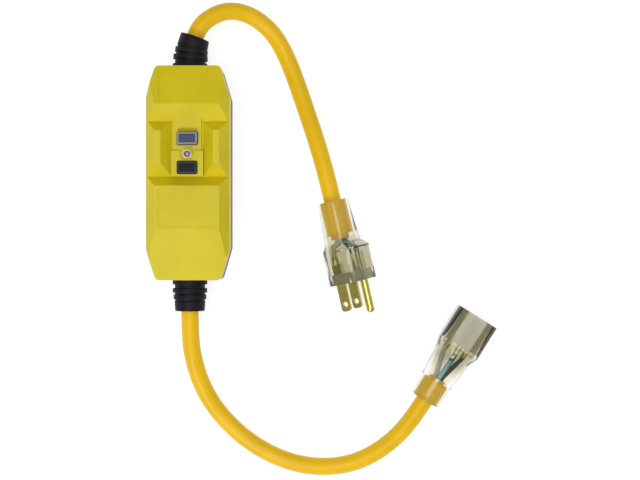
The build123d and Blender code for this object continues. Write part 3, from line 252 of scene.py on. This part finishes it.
def metal(name, colour, roughness, stretch=(1.0, 1.0, 1.0), wear=0.12):
    """Plain metal with drawn or stamped streaks and small tarnish clouds."""
    shader = Shader(name, colour, roughness, Metallic=1.0)
    cloud = shader.noise(260.0, 4.0)
    shader.paint(shader.ramp(cloud, shade(colour, 1 - wear), shade(colour, 1 + wear * 0.5)))
    streaks = shader.noise(1400.0, 3.0, stretch)
    shader.rough(shader.spread(streaks, roughness - 0.08, roughness + 0.12))
    shader.bump(streaks, 0.25, 0.00002)
    return shader.material


def clear(name, colour, roughness, ior, passing):
    """Clear plastic that bends light, with a tint and slight flow ripples."""
    shader = Shader(name, colour, roughness, IOR=ior, Transmission_Weight=passing)
    shader.bump(shader.noise(150.0, 2.0), 0.25, 0.0002)
    return shader.material


def fitting_vinyl(name, rear, front, roughness):
    """Clear vinyl of the plug and connector, darker in the thick block than around the jacket."""
    shader = Shader(name, front, roughness, IOR=1.5, Transmission_Weight=0.985)
    spans = []
    for exit_place in (LINE_ROUTE[-1], LOAD_ROUTE[-1]):
        span = shader.tree.nodes.new("ShaderNodeVectorMath")
        span.operation = "DISTANCE"
        span.inputs[1].default_value = exit_place
        shader.tree.links.new(shader.place, span.inputs[0])
        spans.append(span.outputs["Value"])
    nearest = shader.tree.nodes.new("ShaderNodeMath")
    nearest.operation = "MINIMUM"
    shader.tree.links.new(spans[0], nearest.inputs[0])
    shader.tree.links.new(spans[1], nearest.inputs[1])
    reach = shader.tree.nodes.new("ShaderNodeMapRange")
    reach.inputs["From Min"].default_value = CLEAR_REACH
    reach.inputs["From Max"].default_value = BLOCK_REACH
    shader.tree.links.new(nearest.outputs["Value"], reach.inputs["Value"])
    shader.paint(shader.ramp(reach.outputs["Result"], rear, front, 0.0, 1.0))
    shader.bump(shader.noise(150.0, 2.0), 0.25, 0.0002)
    return shader.material


# ---------------------------------------------------------------- materials
def make_materials():
    yellow = (0.68, 0.555, 0.006)
    return {
        "yellow_housing": moulded("yellow_housing", yellow, 0.42, Specular_IOR_Level=0.28),
        "black_housing": moulded("black_housing", (0.018, 0.018, 0.020), 0.52),
        # Buttons: own dark colours, plus a lighter colour painted on the rim top as a painted highlight.
        "reset_plastic": rim_highlight_tone(
            "reset_plastic", (0.038, 0.054, 0.120), (0.26, 0.28, 0.30), RESET_RIM_HIGHLIGHT_HEIGHT, 0.40, 0.30
        ),
        "test_plastic": rim_highlight_tone(
            "test_plastic", (0.003, 0.003, 0.012), (0.040, 0.040, 0.055), TEST_RIM_HIGHLIGHT_HEIGHT, 0.42, 0.18
        ),
        "black_rubber": moulded(
            "black_rubber", (0.006, 0.006, 0.009), 0.55, 900.0, 0.00006, Specular_IOR_Level=0.22
        ),
        "gasket_rubber": moulded("gasket_rubber", (0.03, 0.03, 0.03), 0.7),
        "cord_jacket": moulded(
            "cord_jacket", (0.86, 0.52, 0.001), 0.38, 700.0, 0.00004, 0.04, Specular_IOR_Level=0.3
        ),
        # Cord jacket painted brighter than the cord: painted light that makes up for the light the clear
        # fitting shell takes off.
        "jacket_painted_bright": moulded("jacket_painted_bright", (1.0, 0.60, 0.001), 0.38, 700.0, 0.00004, 0.03),
        "clear_plastic": fitting_vinyl("clear_plastic", (0.97, 0.96, 0.90), (0.70, 0.68, 0.53), 0.06),
        "insert_plastic": clear("insert_plastic", (0.94, 0.92, 0.82), 0.26, 1.35, 0.50),
        "brass": metal("brass", (0.62, 0.54, 0.15), 0.26, (1.0, 6.0, 1.0)),
        "contact_copper": metal("contact_copper", (0.80, 0.42, 0.22), 0.3),
        "zinc_steel": metal("zinc_steel", (0.60, 0.60, 0.62), 0.32),
        "spring_steel": metal("spring_steel", (0.52, 0.52, 0.55), 0.26),
        "board_green": moulded("board_green", (0.012, 0.11, 0.045), 0.3),
        "mechanism_plastic": moulded("mechanism_plastic", (0.66, 0.62, 0.50), 0.5),
        "winding_copper": metal("winding_copper", (0.50, 0.17, 0.05), 0.35, (1.0, 14.0, 1.0)),
        "coil_black": moulded("coil_black", (0.03, 0.03, 0.035), 0.4),
        "lens_clear": clear("lens_clear", (0.92, 0.92, 0.88), 0.06, 1.49, 1.0),
        "led_red": moulded("led_red", (0.35, 0.02, 0.015), 0.3),
        "chip_black": moulded("chip_black", (0.02, 0.02, 0.02), 0.6),
        "varistor_blue": moulded("varistor_blue", (0.02, 0.09, 0.35), 0.3),
        "capacitor_sleeve": moulded("capacitor_sleeve", (0.015, 0.03, 0.08), 0.35),
        "resistor_tan": moulded("resistor_tan", (0.50, 0.35, 0.18), 0.5),
        "diode_black": moulded("diode_black", (0.02, 0.02, 0.02), 0.35),
        "wire_black": moulded("wire_black", (0.012, 0.012, 0.014), 0.4),
        "wire_white": moulded("wire_white", (0.78, 0.78, 0.74), 0.4),
        "wire_green": moulded("wire_green", (0.01, 0.28, 0.25), 0.4),
    }


def dress(obj, material):
    obj.data.materials.clear()
    obj.data.materials.append(material)


def offset_skin(obj, distance):
    """Move a node's surface in (negative) or out (positive) by a hair, by a modifier only."""
    gap = obj.modifiers.new("gap", "DISPLACE")
    gap.strength = distance
    gap.mid_level = 0.0


def soften_edges(obj, width, segments=2):
    """Small rounded edges on a CAD node, by modifiers only."""
    weld = obj.modifiers.new("weld", "WELD")
    weld.merge_threshold = 0.000002
    bevel = obj.modifiers.new("bevel", "BEVEL")
    bevel.width = width
    bevel.segments = segments
    bevel.limit_method = "ANGLE"
    bevel.angle_limit = math.radians(28)
    bevel.harden_normals = False


# ---------------------------------------------------------------- cords
def make_cord(name, route, material):
    curve = bpy.data.curves.new(name, "CURVE")
    curve.dimensions = "3D"
    spline = curve.splines.new("NURBS")
    spline.points.add(len(route) - 1)
    for point, place in zip(spline.points, route):
        point.co = (*place, 1.0)
    spline.order_u = 3
    spline.use_endpoint_u = True
    spline.resolution_u = 24
    curve.bevel_depth = CORD_RADIUS
    curve.bevel_resolution = 12
    curve.use_fill_caps = True
    cord = bpy.data.objects.new(name, curve)
    curve.materials.append(material)
    bpy.context.scene.collection.objects.link(cord)
    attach(cord, "housing")
    return cord


def make_cords(materials):
    line = make_cord("line_cord_jacket", LINE_ROUTE, materials["cord_jacket"])
    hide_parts("line_cord")
    load = make_cord("load_cord_jacket", LOAD_ROUTE, materials["cord_jacket"])
    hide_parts("load_cord")


# ---------------------------------------------------------------- indicator
def make_lens_bezel(material):
    """Cream ring around the indicator lens, standing on the cover."""
    low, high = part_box("indicator_lens")
    middle = (low + high) / 2
    form = bmesh.new()
    rings = []
    for step in range(BEZEL_STEPS):
        turn = 2 * math.pi * step / BEZEL_STEPS
        rings.append([form.verts.new((r * math.cos(turn), r * math.sin(turn), z)) for r, z in BEZEL_PROFILE])
    for step in range(BEZEL_STEPS):
        here, there = rings[step], rings[(step + 1) % BEZEL_STEPS]
        for low_at in range(len(BEZEL_PROFILE) - 1):
            form.faces.new((here[low_at], here[low_at + 1], there[low_at + 1], there[low_at]))
    bmesh.ops.recalc_face_normals(form, faces=form.faces)
    mesh = bpy.data.meshes.new("lens_bezel")
    form.to_mesh(mesh)
    form.free()
    mesh.shade_smooth()
    ring = bpy.data.objects.new("lens_bezel", mesh)
    ring.location = (middle.x, middle.y, high.z)
    bpy.context.scene.collection.objects.link(ring)
    dress(ring, material)
    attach(ring, "housing")


# ---------------------------------------------------------------- springs
def make_spring(soft, material):
    """Copy of a button's spring, dressed and attached to the housing in place of the hidden node."""
    node = nodes[soft["node"]]
    spring = bpy.data.objects.new(soft["node"] + "_coil", node.data.copy())
    spring.matrix_world = node.matrix_world
    bpy.context.scene.collection.objects.link(spring)
    dress(spring, material)
    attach(spring, "housing")
    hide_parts(soft["node"])
    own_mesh(spring)


# ---------------------------------------------------------------- floor
def make_floor():
    mesh = bpy.data.meshes.new("floor")
    form = bmesh.new()
    bmesh.ops.create_grid(form, x_segments=1, y_segments=1, size=3.0)
    form.to_mesh(mesh)
    form.free()
    floor = bpy.data.objects.new("floor", mesh)
    floor.location = (0.0, 0.0, -0.00005)
    bpy.context.scene.collection.objects.link(floor)
    shader = Shader("floor", (0.30, 0.30, 0.30), 0.9, Emission_Strength=0.82)
    shader.surface.inputs["Emission Color"].default_value = (1.0, 1.0, 1.0, 1.0)
    dress(floor, shader.material)


# ---------------------------------------------------------------- assembly
make_camera()
materials = make_materials()
make_cords(materials)
make_lights()
make_floor()
for subpart in frame["record"]["subparts"]:
    dress(nodes[subpart["node"]], materials[subpart["material_slot"]])
for name, width in EDGE_WIDTHS.items():
    soften_edges(nodes[name], width)
for name in ("plug_blade_insert", "connector_core"):
    offset_skin(nodes[name], -INSERT_GAP)
# Jacket ends inside the clear fittings get the brighter jacket colour, painted light for the light lost
# through the vinyl.
for name in ("line_cord_ends", "load_cord_ends"):
    offset_skin(nodes[name], JACKET_CONTACT)
    dress(nodes[name], materials["jacket_painted_bright"])
make_lens_bezel(materials["mechanism_plastic"])
slots = {subpart["node"]: subpart["material_slot"] for subpart in frame["record"]["subparts"]}
for joint in frame["record"]["behaviour"]["joints"]:
    for soft in joint.get("deforming_nodes", []):
        slot_name = slots[soft["node"]]
        make_spring(soft, materials[slot_name])
